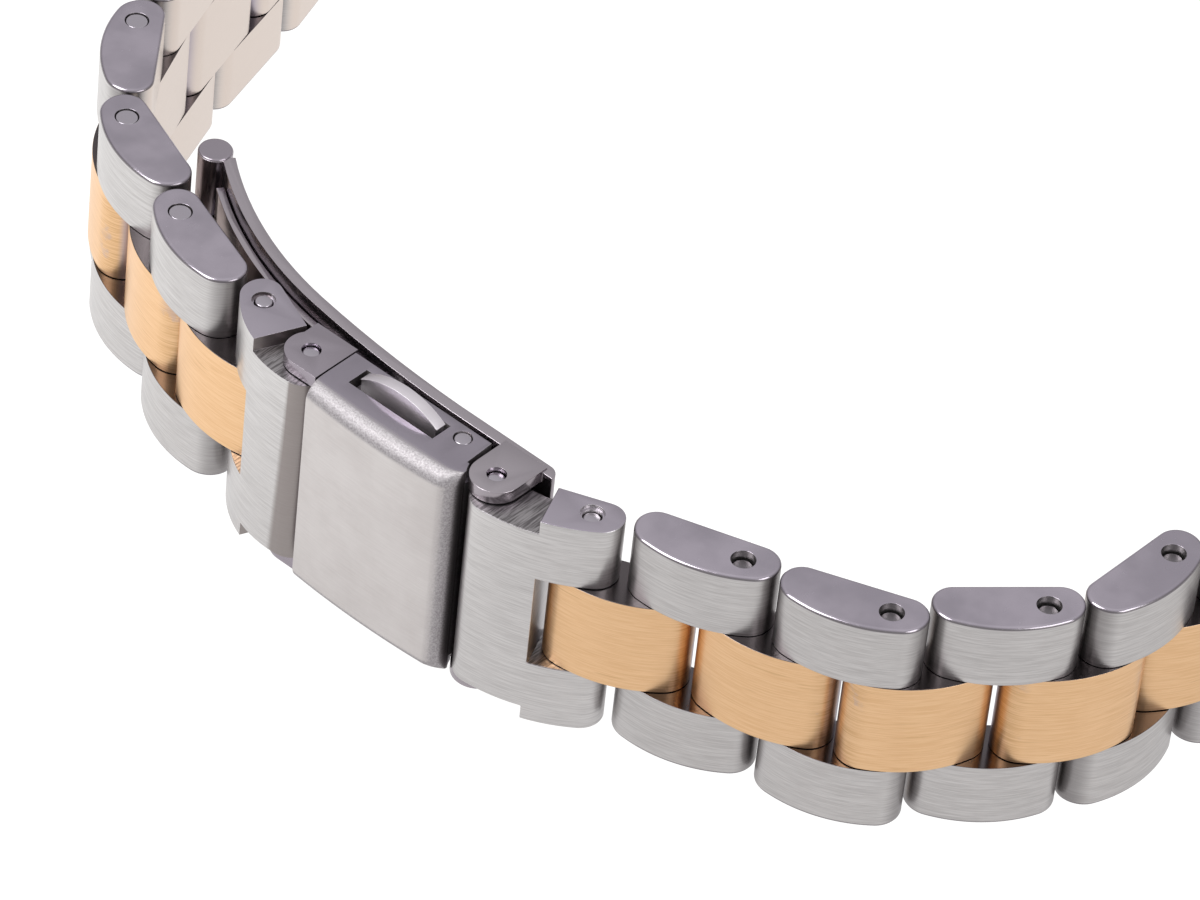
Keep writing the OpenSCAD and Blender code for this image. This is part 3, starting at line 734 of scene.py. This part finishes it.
def slimPin(work):
    middle = sum((v.co for v in work.verts), Vector()) / len(work.verts)
    for vert in work.verts:
        vert.co.x = middle.x + (vert.co.x - middle.x) * pinShare
        vert.co.y = middle.y + (vert.co.y - middle.y) * pinShare


for node, body in claspPins.items():
    softened(node, node + "_shown", body, "pin_steel", pinFinish, "pin", segments=4, reshape=slimPin)

knuckleCap = {"radius": 1.07, "height": 0.3, "inset": 0.08, "edge": 0.13}


def makeCap(side, middleZ):
    v, pin, mesh = knuckleCap, pinAt("clasp_knuckle"), bpy.data.meshes.new("knuckle cap")
    work = bmesh.new()
    place = Matrix.Translation((pin.x, pin.y, middleZ * mm))
    bmesh.ops.create_cone(work, cap_ends=True, segments=48, radius1=v["radius"] * mm,
                          radius2=v["radius"] * mm, depth=v["height"] * mm, matrix=place)
    weighEdges(work, 1.0)
    storeSmooth(work, mesh, earFinish)
    cap = linked("knuckle_cap_work", mesh)
    addBevel(cap, v["edge"] * mm, 4, clamp=False)
    finished("knuckle_cap_" + side, cap, "bottom_blade", "blade_steel")


capMiddle = knuckleCap["inset"] + knuckleCap["height"] / 2
makeCap("lower", band["low"] + capMiddle)
makeCap("upper", bandTop - capMiddle)
print("clasp made")


# sprung bars at the two head ends
for run in runs:
    tube = frame["nodes"][run + "_bar_tube"].data
    tube.materials.clear()
    tube.materials.append(pinFinish)
    for side in ("upper", "lower"):
        node = "%s_bar_tip_%s" % (run, side)
        softened(node, node + "_shown", "tip_%s_%s" % (run, side), "pin_steel", pinFinish, "tip")
print("sprung bars made")


# button springs
spring = {"turns": 9.0, "radius": 0.3, "wire": 0.055, "inset": 0.36}


def springTree():
    # two coils side by side
    t = GeometryTree("button spring", {
        "turns": "Float", "coilRadius": "Float", "length": "Float", "wire": "Float",
        "first": "Vector", "second": "Vector", "finish": "Material"})
    v = t.value
    coil = t.node("GeometryNodeCurveSpiral", {}, {
        "Resolution": 18, "Rotations": v("turns"), "Start Radius": v("coilRadius"),
        "End Radius": v("coilRadius"), "Height": v("length")})
    ring = t.node("GeometryNodeCurvePrimitiveCircle", {}, {"Resolution": 8, "Radius": v("wire")})
    wire = t.node("GeometryNodeCurveToMesh", {}, {"Curve": coil, "Profile Curve": ring, "Fill Caps": True})
    both = t.joined(*(t.node("GeometryNodeTransform", {}, {"Geometry": wire, "Translation": v(key)})
                      for key in ("first", "second")))
    smooth = t.node("GeometryNodeSetShadeSmooth", {}, {"Geometry": both})
    plain = t.node("GeometryNodeRealizeInstances", {}, {"Geometry": smooth})
    t.finish(t.node("GeometryNodeSetMaterial", {}, {"Geometry": plain, "Material": v("finish")}))
    return t


coils = springTree()
wire, inset = spring["wire"] * mm, spring["inset"] * mm
for side in ("upper", "lower"):
    node = side + "_button_springs"
    low, high = (Vector(c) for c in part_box(node))
    obj = linked(node + "_work", bpy.data.meshes.new(node))
    coils.use(obj, turns=spring["turns"], coilRadius=spring["radius"] * mm, wire=wire, finish=springFinish,
              length=high.z - low.z - 2 * wire, first=(low.x + inset, low.y + inset, low.z + wire),
              second=(high.x - inset, low.y + inset, low.z + wire))
    coilsPiece = finished(node + "_coils", obj, "cover", "spring_steel", node)
    length, press = high.z - low.z, joints["push_button_" + side]["range_m"][1]
    (length - press) / length
    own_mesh(coilsPiece)
print("springs made")


# floor and sky
stage = {
    "floorSize": 0.9, "floor": (0.9, 0.891, 0.8865), "floorRough": 0.9,
    "sky": 0.85, "skyStops": ((0.35, (0.22, 0.21, 0.22)), (0.62, (0.62, 0.61, 0.62)), (1.0, (1.0, 1.0, 1.0))),
    "glow": 1.2, "glowShare": 0.85, "glowLeft": (1.0, 0.995, 0.99), "glowRight": (0.64, 0.63, 0.63),
    "glowFrom": -0.055, "glowTo": 0.03, "white": (1.0, 1.0, 1.0),
}


def makeSky():
    # the sky lights the bracelet, and the camera sees plain white
    world = bpy.data.worlds.new("studio")
    bpy.context.scene.world = world
    world.use_nodes = True
    s = ShaderTree(world.node_tree)
    height = s.node("ShaderNodeMapRange", {}, {0: s.axis(s.coords("Generated"), 2), "From Min": -1.0})
    tint = s.node("ShaderNodeValToRGB", {"stops": stage["skyStops"]}, {0: height})
    lit = s.node("ShaderNodeBackground", {}, {"Color": tint, "Strength": stage["sky"]})
    seen = s.node("ShaderNodeBackground", {}, {"Color": stage["white"]})
    straight = s.node("ShaderNodeLightPath", output="Is Camera Ray")
    blend = s.node("ShaderNodeMixShader", {}, {0: straight, 1: lit, 2: seen})
    s.add("ShaderNodeOutputWorld", {}, {0: blend})


def makeFloor():
    # pale, and bright where the camera or a reflection meets it
    mesh, size = bpy.data.meshes.new("floor"), stage["floorSize"]
    corners = [(-size, -size, 0), (size, -size, 0), (size, size, 0), (-size, size, 0)]
    mesh.from_pydata(corners, [], [(0, 1, 2, 3)])
    floor = linked("floor", mesh)
    s = Finish("pale floor")
    s.set({"Base Color": stage["floor"], "Roughness": stage["floorRough"]})
    straight, glossy = (s.node("ShaderNodeLightPath", output=k) for k in ("Is Camera Ray", "Is Glossy Ray"))
    across = s.axis(s.coords(), 0).ramp(stage["glowFrom"], stage["glowTo"])
    tint = s.mix(across * glossy, stage["glowLeft"], stage["glowRight"])
    glow = s.node("ShaderNodeEmission", {}, {"Color": tint, "Strength": stage["glow"]})
    factor = straight * stage["glowShare"] + glossy * stage["glowShare"]
    blend = s.node("ShaderNodeMixShader", {}, {0: factor, 1: s.surface, 2: glow})
    s.fill(s.out.inputs["Surface"], blend)
    mesh.materials.append(s.material)


# camera and lamps
view = {
    "focal": 8095.0, "pictureWidth": 1200, "sensor": 36, "heading": 37.5, "elevation": 41.92, "roll": 6.457,
    "distance": 478.46, "aim": (17.76, 6.055), "nearest": 0.01, "farthest": 10,
}
lamps = {  # metres to the right, away and up from the point that the camera aims at; size; power
    "key": ((-0.35, -0.15, 0.45), 0.35, 2.2),
    "fill": ((0.4, -0.3, 0.3), 0.3, 1.0),
}


def placeCamera():
    heading, tilt, roll = (math.radians(view[key]) for key in ("heading", "elevation", "roll"))
    right = Vector((math.cos(heading), math.sin(heading), 0))
    away = Vector((-math.sin(heading), math.cos(heading), 0))
    ahead = away * math.cos(tilt) - Vector((0, 0, math.sin(tilt)))
    above = away * math.sin(tilt) + Vector((0, 0, math.cos(tilt)))
    across = right * math.cos(roll) + above * math.sin(roll)
    upward = above * math.cos(roll) - right * math.sin(roll)
    aim = Vector((leftEar.x + view["aim"][0] * mm, leftEar.y + view["aim"][1] * mm, bandTop * mm))
    camera = linked("camera", bpy.data.cameras.new("camera"))
    camera.data.sensor_width = view["sensor"]
    camera.data.lens = view["focal"] / view["pictureWidth"] * view["sensor"]
    camera.data.clip_start, camera.data.clip_end = view["nearest"], view["farthest"]
    turn = Matrix((across, upward, -ahead)).transposed().to_4x4()
    camera.matrix_world = Matrix.Translation(aim - ahead * view["distance"] * mm) @ turn
    bpy.context.scene.camera = camera
    return aim, right, away


def placeLamp(name, aim, right, away):
    (across, back, up), size, power = lamps[name]
    data = bpy.data.lights.new(name, "AREA")
    data.shape = "RECTANGLE"
    data.size, data.size_y = size, size
    data.energy = power
    place = aim + right * across + away * back + Vector((0, 0, up))
    turn = (aim - place).to_track_quat("-Z", "Y").to_matrix().to_4x4()
    linked(name, data).matrix_world = Matrix.Translation(place) @ turn


makeSky()
makeFloor()
aim, right, away = placeCamera()
for name in lamps:
    placeLamp(name, aim, right, away)
bpy.context.scene.view_settings.view_transform = "Standard"
print("stage made")
